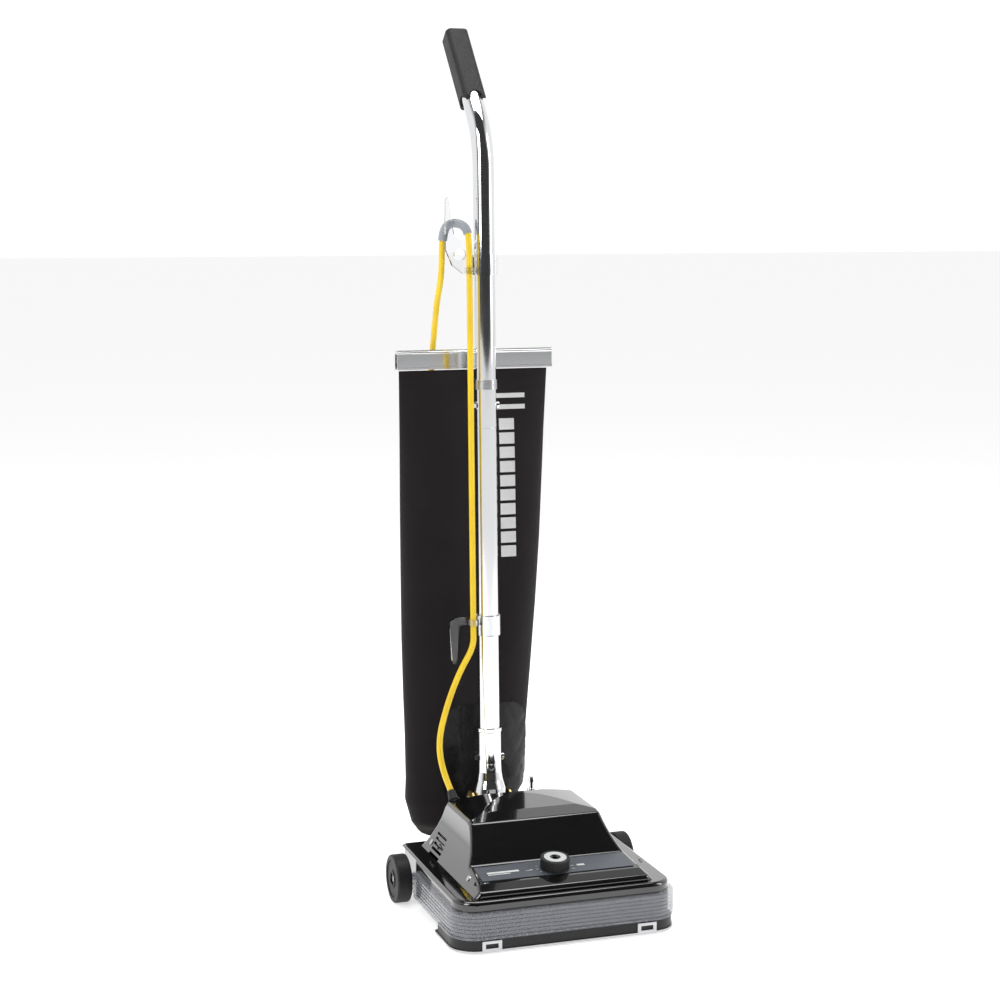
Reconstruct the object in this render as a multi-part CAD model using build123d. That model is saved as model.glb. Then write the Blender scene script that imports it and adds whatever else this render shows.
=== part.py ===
"""Upright vacuum cleaner for commercial floors.

A low base with a brush roll and a motor, a chrome tube handle that leans back on a pivot behind the
hood, and a flat cloth bag that hangs behind the tube. Millimetres. +X is the user's right when facing the
front, +Y points to the rear and +Z is up. The origin is on the floor, at the centre of the footprint.
Depths in this file are counted back from the front of the bumper and turned into Y by Y().
"""
import math
import os

from build123d import *

# ---- driving dimensions --------------------------------------------------------------------------
DEPTH = 528.0            # front of the bumper to the rearmost point of the grip
HALF_WIDTH = 165.0       # bumper, half of its width
BASE_DEPTH = 300.0       # front of the bumper to the rear wall of the base
BASE_TOP = 72.0          # top of the base housing above the floor
WALL = 3.0               # moulded wall
WHEEL_R, WHEEL_DEPTH = 35.0, 250.0
WHEEL_OUT, WHEEL_IN = 183.0, 161.0
ROLLER_R, ROLLER_DEPTH = 11.0, 116.0
CARRIAGE_TRAVEL, CAM_STEPS = 8.8, 8            # height adjustment: 8 steps of 30 degrees
BRUSH_DEPTH, BRUSH_Z, BRUSH_R, BRUSH_HALF = 38.0, 27.0, 16.0, 134.0
BRISTLE_R = 23.8
MOTOR_DEPTH, MOTOR_Z, MOTOR_R = 192.0, 95.0, 40.0
BELT_X, BELT_W = 92.0, 12.0
PIVOT_DEPTH, PIVOT_Z, LEAN = 350.0, 112.0, 1.72     # handle pivot, and the lean of the upright handle
TUBE_R, TUBE_WALL = 15.875, 1.5
GRIP_ANGLE = 41.0        # grip, back from the vertical
CORD_D = 9.0
STRIP_TILT = 8.2         # slope of the label strip, and of the knob's axis
KNOB_DEPTH, KNOB_Z = 65.0, 88.9
RUN = 0.05               # radial clearance of a turning fit


def Y(depth):
    """Row-frame Y of a depth counted from the front of the bumper."""
    return depth - DEPTH / 2


# ---- small builders ------------------------------------------------------------------------------
def block(x0, x1, d0, d1, z0, z1):
    """Box between two corners, with depths for Y."""
    return Pos((x0 + x1) / 2, Y((d0 + d1) / 2), (z0 + z1) / 2) * Box(x1 - x0, d1 - d0, z1 - z0)


def rod_x(radius, x0, x1, depth, z):
    """Cylinder along X."""
    return Pos((x0 + x1) / 2, Y(depth), z) * Rot(0, 90, 0) * Cylinder(radius, x1 - x0)


def rod_z(radius, z0, z1, x, depth):
    """Cylinder along Z."""
    return Pos(x, Y(depth), (z0 + z1) / 2) * Cylinder(radius, z1 - z0)


def prism_x(points, x0, x1):
    """Outline of (depth, z) points, drawn out along X."""
    wire = Polyline(*[(x0, Y(d), z) for d, z in points], close=True)
    return extrude(make_face(wire), amount=x1 - x0, dir=(1, 0, 0))


def prism_y(points, d0, d1):
    """Outline of (x, z) points, drawn out along depth."""
    wire = Polyline(*[(x, Y(d0), z) for x, z in points], close=True)
    return extrude(make_face(wire), amount=d1 - d0, dir=(0, 1, 0))


def plan(half, d0, d1, z0, z1, r_front, r_rear):
    """Rounded rectangle in plan, drawn out along Z."""
    sketch = Pos(0, Y((d0 + d1) / 2)) * Rectangle(2 * half, d1 - d0)
    rows = sketch.vertices().group_by(Axis.Y)
    sketch = fillet(rows[0], r_front)
    if r_rear > 0:
        sketch = fillet(sketch.vertices().group_by(Axis.Y)[-1], r_rear)
    return extrude(Pos(0, 0, z0) * sketch, amount=z1 - z0)


def ring_x(outer, inner, x0, x1, depth, z):
    return rod_x(outer, x0, x1, depth, z) - rod_x(inner, x0 - 1, x1 + 1, depth, z)


def turned(points):
    """Solid of revolution about local Z, from (radius, height) points."""
    wire = Polyline(*[(r, 0, h) for r, h in points], close=True)
    return revolve(make_face(wire), axis=Axis.Z)


HANDLE = Pos(0, Y(PIVOT_DEPTH), PIVOT_Z) * Rot(-LEAN, 0, 0)     # local Z runs up the tube
KNOB = Pos(0, Y(KNOB_DEPTH), KNOB_Z) * Rot(STRIP_TILT, 0, 0)    # local Z is the knob's axis


def on_handle(x, back, up):
    """Row-frame point from handle coordinates: sideways, behind the tube's axis and up from the pivot."""
    return (HANDLE * Pos(x, back, up)).position


# ---- base ----------------------------------------------------------------------------------------
def wheel_space(side):
    """Space for a rear wheel under the edge of the housing."""
    inner, outer = 149.0, 190.0
    x0, x1 = (inner, outer) if side > 0 else (-outer, -inner)
    return block(x0, x1, 210, 400, -5, BASE_TOP - WALL / 2)


def base_housing():
    outer = plan(158, 8, BASE_DEPTH, 20, BASE_TOP, 32, 12)
    outer = fillet(outer.faces().sort_by(Axis.Z)[-1].edges(), 6)
    body = outer - plan(155, 11, 297, 10, BASE_TOP - WALL, 29, 9)
    body += block(-155.5, 155.5, 64, 67, 20, 70) + block(-155.5, 155.5, 10, 66, 53, 56)
    body += block(-149, -146, 210, 298, 20, 70) + block(146, 149, 210, 298, 20, 70)
    body += block(-150, -146, 207, 210, 20, 70) + block(146, 150, 207, 210, 20, 70)
    body &= outer
    body -= wheel_space(-1) + wheel_space(1)
    body -= block(-112, 112, 76, 272, 60, 80)                       # opening under the hood
    body -= KNOB * (Pos(0, 0, -14) * Cylinder(19, 20))              # room for the height cam
    body -= block(-8, 8, 60, 80, 57, 80)                            # and for its follower
    body -= block(46, 74, 60, 70, 33, 51)                           # duct window
    body -= block(BELT_X - 9, BELT_X + 9, 50, 80, 18, 80)           # belt slot
    body -= block(-27, 27, 268, 305, 40, 80)                        # exhaust opening
    for x in (-30, 30):
        body += rod_z(4, 47, BASE_TOP - 2, x, 72)                   # stops of the height carriage
    for side in (-1, 1):
        body += latch_post(side)
    return body - rod_x(5.0, -160, 160, WHEEL_DEPTH, WHEEL_R)       # axle holes


def bumper():
    """Vinyl band round the front and sides, with seven raised ribs."""
    z0, z1, ribs = 20.4, 57.0, 7
    pitch = (z1 - z0) / ribs
    band = plan(HALF_WIDTH - 1.3, 1.3, 320, z0, z1, 38, 0)
    for i in range(ribs):
        low = z0 + (i + 0.18) * pitch
        band += plan(HALF_WIDTH, 0, 320, low, low + pitch * 0.64, 39, 0)
    band -= plan(158.2, 7.8, 340, z0 - 5, z1 + 5, 32.2, 0)
    cut = prism_x([(207, 60), (207, 34), (200, 19), (340, 19), (340, 60)], -200, 200)
    return band - cut


def nozzle_rim():
    """Lower front lip of the nozzle, open behind."""
    rim = plan(162, 2, 150, 6.2, 20.0, 36, 0) - plan(157.5, 6.5, 160, 0, 30, 31.5, 0)
    return rim - block(-200, 200, 92, 200, 0, 30)


def bottom_plate():
    """Steel sole plate with the nozzle mouth, two front hooks and two rear runners."""
    plate = plan(164, 0, 104, 3.0, 6.0, 38, 6)
    plate -= block(-136, 136, 16, 60, 0, 10)
    for x in (-96, -48, 0, 48):
        plate += block(x - 1.4, x + 1.4, 15, 61, 3.0, 4.6)
    for x in (-113, 113):
        plate += block(x - 14, x + 14, 0, 1.8, 5, 19) - block(x - 9, x + 9, -1, 3, 8.5, 15)
    return plate


LATCH_X, LATCH_DEPTH = 124.0, 112.0


def plate_latch(side):
    """Turning latch that holds the back of the sole plate."""
    x = side * LATCH_X
    arm = block(x - 5, x + 5, 92, LATCH_DEPTH, 7.0, 9.5) + rod_z(7, 7.0, 9.5, x, LATCH_DEPTH)
    return arm + rod_z(3, 9.5, 19, x, LATCH_DEPTH)


def latch_post(side):
    """Moulded post in the base that a latch turns in."""
    x = side * LATCH_X
    return rod_z(8, 12, BASE_TOP - 2, x, LATCH_DEPTH) - rod_z(3 + RUN, 10, 22, x, LATCH_DEPTH)


def hood_solid(inset):
    """Outer form of the hood, or of its hollow when inset is its wall."""
    i = inset
    side = [(20 + i, 66), (20 + i, 79 - i), (41, 85.4 - i), (94 + i * 0.2, 93 - i),
            (142 + i * 0.5, 139.5 - i), (170, 146 - i), (238 - i * 0.4, 152 - i), (250 - i, 148 - i),
            (262 - i, 132), (280 - i, 66)]
    long = prism_x(side, -150, 150)
    bottom, brow, crown = 137 - i, 98 - i, 151.5 - i
    p = [(-bottom, Y(0), 66), (-111 + i, Y(0), 100), (-brow, Y(0), 141 - i)]
    q = [(-x, y, z) for x, y, z in reversed(p)]
    arch = ThreePointArc(p[-1], (0, Y(0), crown), q[0])
    right = ThreePointArc(*q)
    floor = Line(q[-1], p[0])
    left = ThreePointArc(*p)
    section = make_face([left, arch, right, floor])
    return long & extrude(section, amount=320, dir=(0, 1, 0))


def side_limit(inset):
    """Everything between the side walls, at a given inset."""
    i = inset
    return prism_y([(-137 + i, 60), (-111 + i, 100), (-98 + i, 141), (-98 + i, 160),
                    (98 - i, 160), (98 - i, 141), (111 - i, 100), (137 - i, 60)], 0, 320)


def hood_parts():
    """Hood and its two end plates, from one filleted form."""
    form = hood_solid(0) & block(-150, 150, 0, 320, BASE_TOP + 0.3, 200)
    form = fillet(form.edges().filter_by(lambda e: e.center().Z > BASE_TOP + 3), 7)
    shell = form - hood_solid(2.8)
    hood = shell & side_limit(3.2)
    ends = shell - side_limit(3.0)
    left = ends & block(-150, 0, 0, 320, 60, 200)
    right = ends & block(0, 150, 0, 320, 60, 200)
    for k in range(5):
        slot = Pos(-125, Y(230 - 3.1 * k), 97.3 - 5.9 * k) * Box(50, 42, 3.0)
        left -= slot
        right -= mirror(slot, Plane.YZ)
    hood -= KNOB * Cylinder(6.5, 30) + strip_seat() + GROMMET * Cylinder(6.6, 30)
    hood -= block(-25, 25, 250, 300, 60, 88)                        # exhaust duct
    return hood, left, right


def label_strip():
    """Satin panel on the hood's front shelf, under the knob."""
    panel = KNOB * (Pos(0, 2.6, 0.75) * Box(222, 42, 1.0))
    return panel - KNOB * Cylinder(7, 10)


def strip_seat():
    """What the label strip and its adhesive take out of the hood."""
    return KNOB * (Pos(0, 2.6, 0.6) * Box(222.4, 42.4, 1.2))


# ---- height adjustment ---------------------------------------------------------------------------
def height_knob():
    """Knurled knob with a stem through the hood."""
    body = Pos(0, 0, 9.5) * Cylinder(20.5, 15)
    for k in range(40):
        body -= Rot(0, 0, 9 * k) * (Pos(21.0, 0, 9) * Cylinder(0.9, 17))
    body -= Pos(0, 0, 17.2) * Cylinder(16.0, 2.4)
    body += Pos(0, 0, -3) * Cylinder(6, 12) + height_cam()
    return KNOB * (body - Pos(0, 0, 14) * Cylinder(4.2, 12))


def knob_dial():
    """Bright dial ring set in the top of the knob."""
    ring = Pos(0, 0, 16.75) * Cylinder(15.8, 1.5)
    return KNOB * (ring - Pos(0, 0, 16) * Cylinder(7.5, 6))


def height_cam():
    """Stepped face cam under the knob: each 30 degree step lets the follower down a little more."""
    cam = Pos(0, 0, -9) * Cylinder(17, 3)
    for k in range(1, CAM_STEPS + 1):
        drop = CARRIAGE_TRAVEL * k / CAM_STEPS
        sector = Pos(0, 0, -10.4 - drop / 2) * Cylinder(17, drop, arc_size=30)
        cam += Rot(0, 0, 75 - 30 * k) * sector
    return cam


def height_carriage():
    """Folded steel carriage with the front rollers' pins and the cam follower."""
    d0, d1 = ROLLER_DEPTH - 9, ROLLER_DEPTH + 9
    frame = block(-64, 64, d0, d1, 24, 27)
    for x in (-64, -40, 38, 62):
        frame += block(x, x + 2, d0, d1, 4, 26)
    frame += block(-6, 6, ROLLER_DEPTH - 3, ROLLER_DEPTH, 26, 67)
    frame += block(-6, 6, KNOB_DEPTH + 9, ROLLER_DEPTH, 64, 67)
    for x in (-51, 51):
        frame += rod_x(2.5, x - 12.5, x + 12.5, ROLLER_DEPTH, ROLLER_R)
    return frame


def front_roller(side):
    x = side * 51
    return ring_x(ROLLER_R, 2.5 + RUN, x - 9, x + 9, ROLLER_DEPTH, ROLLER_R)


# ---- brush roll and drive ------------------------------------------------------------------------
def brush_roller():
    core = ring_x(BRUSH_R, 4.0, -BRUSH_HALF, BRUSH_HALF, BRUSH_DEPTH, BRUSH_Z)
    groove = ring_x(BRUSH_R + 1, 13.0, BELT_X - 7, BELT_X + 7, BRUSH_DEPTH, BRUSH_Z)
    return core - groove


def bristle_rows():
    """Four rows of bristles, each a comb of stiff tufts."""
    tufts = []
    for row in range(4):
        for k in range(22):
            x = -126 + 12 * k
            if abs(x - BELT_X) < 13:
                continue
            tuft = Pos(x, 0, (BRUSH_R + BRISTLE_R) / 2) * Box(7, 4, BRISTLE_R - BRUSH_R - 0.4)
            tufts.append(Pos(0, Y(BRUSH_DEPTH), BRUSH_Z) * Rot(90 * row + 1.2 * k, 0, 0) * tuft)
    return Compound(children=tufts)


def brush_shaft():
    return rod_x(3.95, -BRUSH_HALF - 7, BRUSH_HALF + 7, BRUSH_DEPTH, BRUSH_Z)


def belt_line(inset):
    """Outline of the belt: the hull of its two pulleys, at an inset from the outside of the belt."""
    r1, r2 = 15.3 - inset, 10.0 - inset
    dd, dz = MOTOR_DEPTH - BRUSH_DEPTH, MOTOR_Z - BRUSH_Z
    span, base = math.hypot(dd, dz), math.atan2(dz, dd)
    lift = math.acos((r1 - r2) / span)
    hull = rod_x(r1, BELT_X - BELT_W / 2, BELT_X + BELT_W / 2, BRUSH_DEPTH, BRUSH_Z)
    hull += rod_x(r2, BELT_X - BELT_W / 2, BELT_X + BELT_W / 2, MOTOR_DEPTH, MOTOR_Z)
    corners = []
    for depth, z, r, turn in ((BRUSH_DEPTH, BRUSH_Z, r1, lift), (MOTOR_DEPTH, MOTOR_Z, r2, lift),
                              (MOTOR_DEPTH, MOTOR_Z, r2, -lift), (BRUSH_DEPTH, BRUSH_Z, r1, -lift)):
        corners.append((depth + r * math.cos(base + turn), z + r * math.sin(base + turn)))
    return hull + prism_x(corners, BELT_X - BELT_W / 2, BELT_X + BELT_W / 2)


def drive_belt():
    return belt_line(0) - belt_line(2.0)


def motor_pulley():
    body = rod_x(7.7, BELT_X - 8, BELT_X + 8, MOTOR_DEPTH, MOTOR_Z)
    for x in (BELT_X - 8, BELT_X + 6.6):
        body += rod_x(11, x, x + 1.4, MOTOR_DEPTH, MOTOR_Z)
    return body - rod_x(4.0, BELT_X - 9, BELT_X + 9, MOTOR_DEPTH, MOTOR_Z)


# ---- motor and air path --------------------------------------------------------------------------
def motor_housing():
    """Steel motor can with its slotted end bell and mounting pad."""
    can = ring_x(MOTOR_R, MOTOR_R - 2, -84, -14, MOTOR_DEPTH, MOTOR_Z)
    can += ring_x(MOTOR_R, 9.1, -14, -12, MOTOR_DEPTH, MOTOR_Z)
    can += block(-70, -24, MOTOR_DEPTH - 16, MOTOR_DEPTH + 16, 54.5, 56.5)
    bell = ring_x(MOTOR_R, 9.1, -88, -84, MOTOR_DEPTH, MOTOR_Z)
    for k in range(8):
        bell -= Pos(-86, Y(MOTOR_DEPTH), MOTOR_Z) * Rot(45 * k, 0, 0) * (Pos(0, 0, 26) * Box(10, 9, 18))
    return can + bell


def motor_bearings():
    """Two ball bearings, one at each end of the motor shaft."""
    rings = [ring_x(9.0, 4.0 + RUN, x, x + 5.5, MOTOR_DEPTH, MOTOR_Z) for x in (-88, 75.6)]
    return Compound(children=rings)


def field_core():
    """Laminated field with its two coils."""
    core = ring_x(MOTOR_R - 2.1, 24.6, -58, -26, MOTOR_DEPTH, MOTOR_Z)
    return core


def armature():
    """Armature with its commutator, pressed on the shaft."""
    body = rod_x(3.95, -88, BELT_X + 9, MOTOR_DEPTH, MOTOR_Z) + rod_x(23.8, -56, -28, MOTOR_DEPTH, MOTOR_Z)
    return body + rod_x(12, -76, -60, MOTOR_DEPTH, MOTOR_Z) + rod_x(8, -60, -56, MOTOR_DEPTH, MOTOR_Z)


def brush_holders():
    """Carbon brushes in their brass holders, either side of the commutator."""
    holders = []
    for turn in (0, 180):
        stick = Pos(-68, 0, 24.5) * Box(7, 7, 24) + Pos(-68, 0, 27) * Box(10, 10, 16)
        holders.append(Pos(0, Y(MOTOR_DEPTH), MOTOR_Z) * Rot(turn, 0, 0) * stick)
    return Compound(children=holders)


FAN_X0, FAN_X1 = -8.0, 40.0


def fan_housing():
    """Volute: an open drum with a tangential outlet to the rear."""
    outer = rod_x(46, FAN_X0, FAN_X1, MOTOR_DEPTH, MOTOR_Z)
    inner = rod_x(43.5, FAN_X0 + 2.5, FAN_X1 + 1, MOTOR_DEPTH, MOTOR_Z)
    outlet = block(FAN_X0, 22, MOTOR_DEPTH, 268, 50, 78)
    hollow = block(FAN_X0 + 2.5, 19.5, MOTOR_DEPTH, 270, 52.5, 75.5)
    body = (outer + outlet) - inner - hollow
    return body - rod_x(6, FAN_X0 - 1, FAN_X0 + 4, MOTOR_DEPTH, MOTOR_Z)


def fan():
    """Radial fan: back plate, hub and eight blades."""
    body = rod_x(39, 0, 2.5, MOTOR_DEPTH, MOTOR_Z) + rod_x(9, 0, 30, MOTOR_DEPTH, MOTOR_Z)
    for k in range(8):
        blade = Pos(16, 24, 0) * Rot(28, 0, 0) * Box(28, 28, 2)
        body += Pos(0, Y(MOTOR_DEPTH), MOTOR_Z) * Rot(45 * k, 0, 0) * blade
    return body - rod_x(4.0, -1, 31, MOTOR_DEPTH, MOTOR_Z)


def intake_duct():
    """Box duct from the nozzle chamber, with the fan's cover on one side and a bearing seat on the other."""
    outer = [(67.2, 31), (67.2, 53), (110, 55), (150, 78), (165, 118), (216, 118), (216, 76), (180, 66),
             (120, 31)]
    inner = [(66, 33.5), (66, 50.5), (111, 52.5), (152, 76), (168, 115.5), (213.5, 115.5), (213.5, 78.5),
             (178.5, 68.5), (119, 33.5)]
    duct = prism_x(outer, 43, 77) + rod_x(46, FAN_X1 + 0.1, 43.5, MOTOR_DEPTH, MOTOR_Z)
    duct -= prism_x(inner, 45.5, 74.5) + rod_x(17, FAN_X1 - 1, 46, MOTOR_DEPTH, MOTOR_Z)
    duct += rod_x(12, 74, 81.2, MOTOR_DEPTH, MOTOR_Z)
    return duct - rod_x(9.1, 75.5, 90, MOTOR_DEPTH, MOTOR_Z) - rod_x(6, 70, 90, MOTOR_DEPTH, MOTOR_Z)


EXHAUST_Z0, EXHAUST_Z1, EXHAUST_HALF = 44.0, 82.0, 22.0


def exhaust_hollow(d0, d1):
    inset = 2.5
    return block(-EXHAUST_HALF + inset, EXHAUST_HALF - inset, d0, d1, EXHAUST_Z0 + inset, EXHAUST_Z1 - inset)


def exhaust_duct():
    """Duct from the volute, under the handle pivot, to the cuff of the bag."""
    duct = block(-EXHAUST_HALF, EXHAUST_HALF, 268.3, 392, EXHAUST_Z0, EXHAUST_Z1)
    duct += block(-EXHAUST_HALF - 2, EXHAUST_HALF + 2, 375, 378, EXHAUST_Z0 - 2, EXHAUST_Z1 + 2)
    return duct - exhaust_hollow(260, 400)


def bag_cuff():
    """Elastic strap that ties the bag to the exhaust duct."""
    grow = 3.5
    strap = block(-EXHAUST_HALF - grow, EXHAUST_HALF + grow, 379, 390, EXHAUST_Z0 - grow, EXHAUST_Z1 + grow)
    return strap - block(-EXHAUST_HALF, EXHAUST_HALF, 370, 400, EXHAUST_Z0, EXHAUST_Z1)


# ---- wheels --------------------------------------------------------------------------------------
def rear_axle():
    return rod_x(4.9, -WHEEL_OUT + 2, WHEEL_OUT - 2, WHEEL_DEPTH, WHEEL_R)


def rear_wheel(side):
    """Moulded wheel with a square pocket round the axle's end."""
    x0, x1 = sorted((side * WHEEL_IN, side * WHEEL_OUT))
    wheel = rod_x(WHEEL_R, x0, x1, WHEEL_DEPTH, WHEEL_R)
    wheel = fillet(wheel.edges(), 3)
    wheel -= ring_x(27, 12.5, side * WHEEL_OUT - 1.2, side * WHEEL_OUT + 1.2, WHEEL_DEPTH, WHEEL_R)
    pocket = Pos(side * (WHEEL_OUT - 4), Y(WHEEL_DEPTH), WHEEL_R) * Rot(12, 0, 0) * Box(8.2, 16, 16)
    return wheel - pocket - rod_x(4.9 + RUN, x0 - 1, x1 + 1, WHEEL_DEPTH, WHEEL_R)


def axle_nuts():
    """Push nuts on the ends of the axle."""
    nuts = []
    for side in (-1, 1):
        x0, x1 = sorted((side * (WHEEL_OUT - 7.5), side * (WHEEL_OUT - 5.5)))
        nuts.append(ring_x(7, 4.9, x0, x1, WHEEL_DEPTH, WHEEL_R))
    return Compound(children=nuts)


# ---- handle --------------------------------------------------------------------------------------
def pivot_bracket():
    """Zinc-plated fork on the rear of the base, either side of the exhaust duct."""
    back = block(-44, 44, BASE_DEPTH + 0.2, BASE_DEPTH + 3.2, 24, 66)
    back -= block(-26, 26, 290, 310, 40, 80)
    for side in (-1, 1):
        ear = prism_x([(300.2, 30), (300.2, 66), (332, 116), (342, 124), (358, 124), (366, 116), (366, 104),
                       (350, 90), (325, 34)], 28, 31)
        foot = block(27, 44, BASE_DEPTH + 0.2, BASE_DEPTH + 3.2, 24, 66)
        pair = ear + foot
        back += pair if side > 0 else mirror(pair, Plane.YZ)
    return back - rod_x(4.0, -60, 60, PIVOT_DEPTH, PIVOT_Z)


def pivot_pin():
    pin = rod_x(3.95, -33, 33, PIVOT_DEPTH, PIVOT_Z)
    return pin + rod_x(7, -35.5, -33, PIVOT_DEPTH, PIVOT_Z) + rod_x(6, 32, 34.5, PIVOT_DEPTH, PIVOT_Z)


def handle_socket():
    """Chrome socket: a sleeve for the tube that flares out towards the pivot."""
    sleeve = turned([(0, -14), (20, -14), (25.5, -6), (25.5, 8), (23.4, 18), (20.0, 30), (18.2, 42),
                     (17.8, 56), (17.8, 103), (18.9, 104), (18.9, 109), (0, 109)])
    sleeve -= Pos(0, 0, 80) * Cylinder(TUBE_R + 0.03, 98)
    sleeve -= Rot(0, 90, 0) * Cylinder(3.95 + RUN, 80)
    sleeve -= Pos(0, 0, 63) * Rot(0, 90, 0) * Cylinder(3.1, 60)
    return HANDLE * sleeve


def tube_bolts():
    """Two bolts across the tube, each with a dome head on the right."""
    bolts = []
    for height, reach in ((TOP_BOLT, TUBE_R), (LOW_BOLT, 17.8)):
        bolt = Pos(0, 0, height) * Rot(0, 90, 0) * Cylinder(2.95, 2 * reach + 10)
        bolts.append(HANDLE * (bolt + Pos(reach + 2, 0, height) * Rot(0, 90, 0) * Cylinder(5.5, 3.6)))
    return Compound(children=bolts)


def tube_nuts():
    """Hex nuts on the bolts, on the left."""
    nuts = []
    for height, reach in ((TOP_BOLT, TUBE_R), (LOW_BOLT, 17.8)):
        nut = extrude(RegularPolygon(5.8, 6), amount=4.4) - Cylinder(2.97, 20)
        nuts.append(HANDLE * (Pos(-reach - 4.7, 0, height) * Rot(0, 90, 0) * nut))
    return Compound(children=nuts)


SEAM, TOP_BOLT, LOW_BOLT = 563.0, 596.0, 63.0


def tube_lower():
    tube = Pos(0, 0, (33 + SEAM) / 2) * Cylinder(TUBE_R, SEAM - 33)
    tube += Pos(0, 0, SEAM + 28) * Cylinder(TUBE_R - TUBE_WALL - 0.1, 60)
    tube -= Pos(0, 0, 320) * Cylinder(TUBE_R - 2 * TUBE_WALL, 700)
    for height in (TOP_BOLT, LOW_BOLT):
        tube -= Pos(0, 0, height) * Rot(0, 90, 0) * Cylinder(3.1, 60)
    return HANDLE * tube


def upper_path():
    """Centreline of the upper tube: straight up from the seam, then bent back to the grip."""
    start = on_handle(0, 0, SEAM + 0.6)
    corner = on_handle(0, 0, 988)
    lean = math.radians(GRIP_ANGLE)
    end = corner + Vector(0, math.sin(lean), math.cos(lean)) * 205
    return FilletPolyline(start, corner, end, radius=130)


def tube_upper():
    path = upper_path()
    solids = []
    for radius in (TUBE_R, TUBE_R - TUBE_WALL):
        section = Plane(path @ 0, z_dir=path % 0) * Circle(radius)
        solids.append(sweep(section, path=path))
    hole = HANDLE * (Pos(0, 0, TOP_BOLT) * Rot(0, 90, 0) * Cylinder(3.1, 60))
    return solids[0] - solids[1] - hole


def grip_place():
    path = upper_path()
    return Plane(path @ 1, x_dir=(1, 0, 0), z_dir=path % 1)


def grip():
    """Rubber grip: a rounded square sleeve, scalloped at its lower end and chamfered at the top."""
    length, side = 140.0, 35.0
    body = extrude(RectangleRounded(side, side, 8), amount=length)
    body = chamfer(body.faces().sort_by(Axis.Z)[-1].edges(), 5)
    body = Pos(0, 0, 6 - length) * body
    body -= Pos(0, 0, -length / 2) * Cylinder(TUBE_R + 0.03, length)
    for turn in (0, 90):
        body -= Rot(0, 0, turn) * (Pos(0, 0, 6 - length) * Rot(0, 90, 0) * Cylinder(9, 60))
    return Location(grip_place()) * body


# ---- cord hooks, bag and its clamp ---------------------------------------------------------------
CORD_SIDE, CORD_FRONT = -27.0, -12.0     # cord beside the tube: X, and in front of the tube's axis


def hook_plate(points, half=3.0):
    wire = Polyline(*[(x, -half, s) for x, s in points], close=True)
    return extrude(make_face(wire), amount=2 * half, dir=(0, 1, 0))


def cord_clip(height):
    clip = Pos(CORD_SIDE, CORD_FRONT, height) * (Cylinder(7.0, 9) - Cylinder(CORD_D / 2 + 0.3, 12))
    clip += Pos(-20.5, -7.5, height) * Box(5, 8, 9)
    return clip - Pos(CORD_SIDE, CORD_FRONT, height) * Cylinder(4.8, 12)


def hook_band(s0, s1):
    middle, tall = (s0 + s1) / 2, s1 - s0
    return Pos(0, 0, middle) * (Cylinder(TUBE_R + 3.4, tall) - Cylinder(TUBE_R + 0.05, tall + 2))


def lower_hook():
    """Clear cord hook, pointing down."""
    body = hook_plate([(-17, 268), (-17, 279), (-52, 279), (-60, 275), (-61, 266), (-57, 211), (-54, 209),
                       (-50, 214), (-47, 262), (-44, 268)])
    body += hook_band(251, 281) + cord_clip(272)
    return HANDLE * (body - Pos(0, 0, 266) * Cylinder(TUBE_R + 0.05, 60))


def upper_hook():
    """Clear cord hook, pointing up, with a window through its web."""
    body = hook_plate([(-17, 789), (-34, 791), (-50, 803), (-60, 826), (-60, 862), (-59, 900), (-56, 902),
                       (-50, 867), (-47, 848), (-38, 841), (-27, 840), (-20, 832), (-17, 820)])
    body -= Pos(-38, 0, 819) * Rot(90, 0, 0) * Cylinder(9, 20)
    body += hook_band(788, 818) + cord_clip(795)
    return HANDLE * (body - Pos(0, 0, 800) * Cylinder(TUBE_R + 0.05, 60))


CLAMP_S0, CLAMP_S1, CLAMP_BACK = 649.0, 678.0, 54.0


def bag_clamp():
    """Slide-on top clamp: a polished channel with a bead along its top and a lip below."""
    half = 7.0
    body = Pos(0, CLAMP_BACK, (CLAMP_S0 + CLAMP_S1) / 2) * Box(244, 2 * half, CLAMP_S1 - CLAMP_S0)
    body += Pos(0, CLAMP_BACK - half, CLAMP_S1 - 4) * Rot(0, 90, 0) * Cylinder(2.2, 244)
    body += Pos(0, CLAMP_BACK - half, CLAMP_S0 + 1.6) * Box(244, 3.4, 3.2)
    body -= Pos(0, CLAMP_BACK, CLAMP_S0 + 11.5) * Box(250, 2 * half - 3.6, 23.2)
    return HANDLE * body


def bag_rail():
    """Flat bar in the hem of the bag, inside the clamp."""
    return HANDLE * (Pos(0, CLAMP_BACK, CLAMP_S0 + 16) * Box(238, 3, 12))


def bag_hanger():
    """Steel strap round the tube, with an arm that is riveted to the bag just below the clamp."""
    s = CLAMP_S0 - 22
    body = Pos(0, 0, s) * Cylinder(TUBE_R + 1.6, 14) + Pos(0, 30, s) * Box(3, 32, 12)
    body += Pos(0, 46.5, s) * Box(24, 2, 12)
    return HANDLE * (body - Pos(0, 0, s) * Cylinder(TUBE_R + 0.05, 40))


BAG_CLOTH = 1.6
BAG_FRONT = [(-119, 757), (-117, 560), (-114, 350), (-109, 130), (-111, 98), (-101, 62), (-84, 40),
             (-70, 36), (-30, 36), (40, 48), (68, 84), (76, 113), (84, 192), (92, 287), (100, 397),
             (106, 500), (112, 661), (117, 757)]
BAG_SIDE = [(419.8, 757), (408, 620), (400, 450), (397, 250), (392.5, 120), (392.5, 60), (402, 30),
            (450, 30), (464, 100), (466, 260), (458, 450), (444, 620), (428.5, 757)]


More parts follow.
